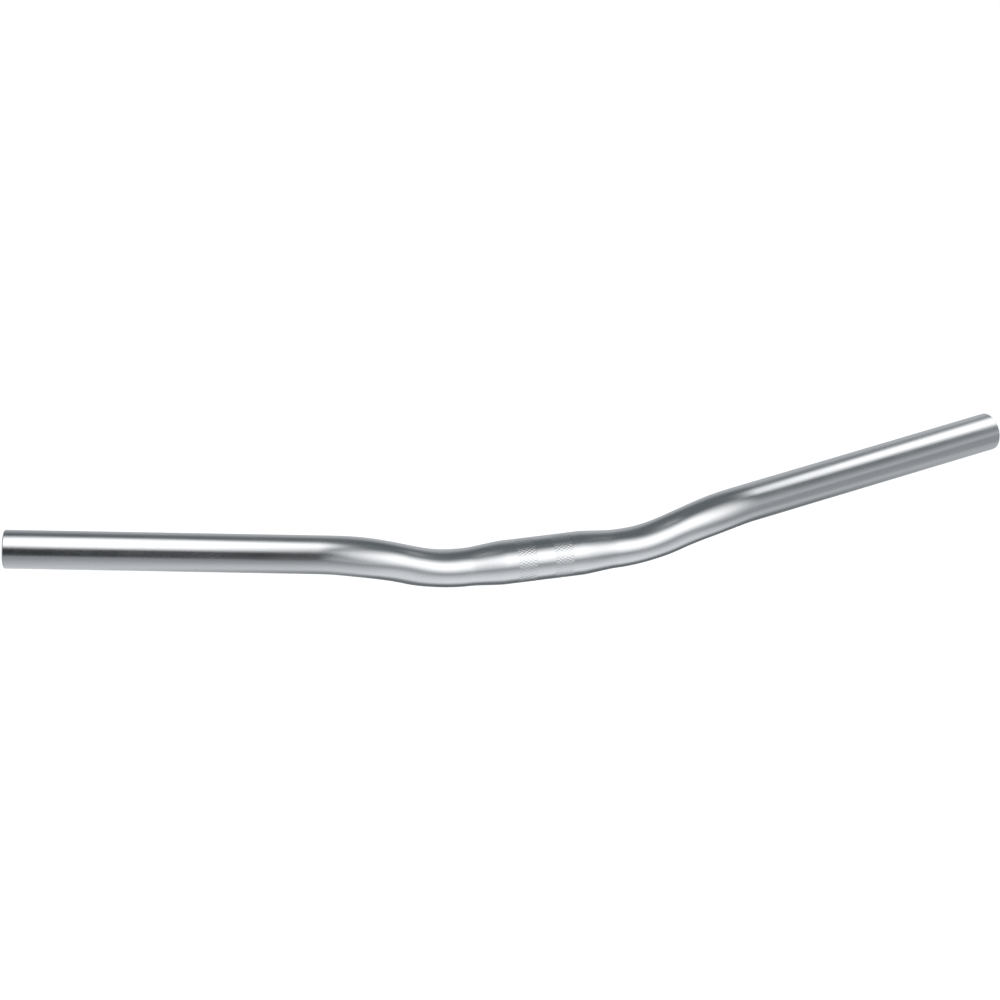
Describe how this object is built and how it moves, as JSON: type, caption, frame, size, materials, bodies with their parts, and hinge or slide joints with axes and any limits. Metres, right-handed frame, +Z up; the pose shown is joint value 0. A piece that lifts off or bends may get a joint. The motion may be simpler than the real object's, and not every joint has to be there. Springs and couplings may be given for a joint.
{
  "type": "bicycle handlebar",
  "caption": "City bike handlebar: a bare silver aluminium tube with a wider clamping zone, a low rise and swept-back grips, open at both ends",
  "frame": {"origin": "centre of the stem clamping zone, on the tube's axis", "axes": "+X along the clamping zone, +Y to the rider (the way the grips sweep), +Z up as mounted on a bicycle"},
  "size_m": [0.6066, 0.0879, 0.0391],
  "materials": {
    "silver_aluminium": "polished"
  },
  "bodies": {
    "root": {"handlebar": "silver_aluminium"}
  },
  "joints": []
}
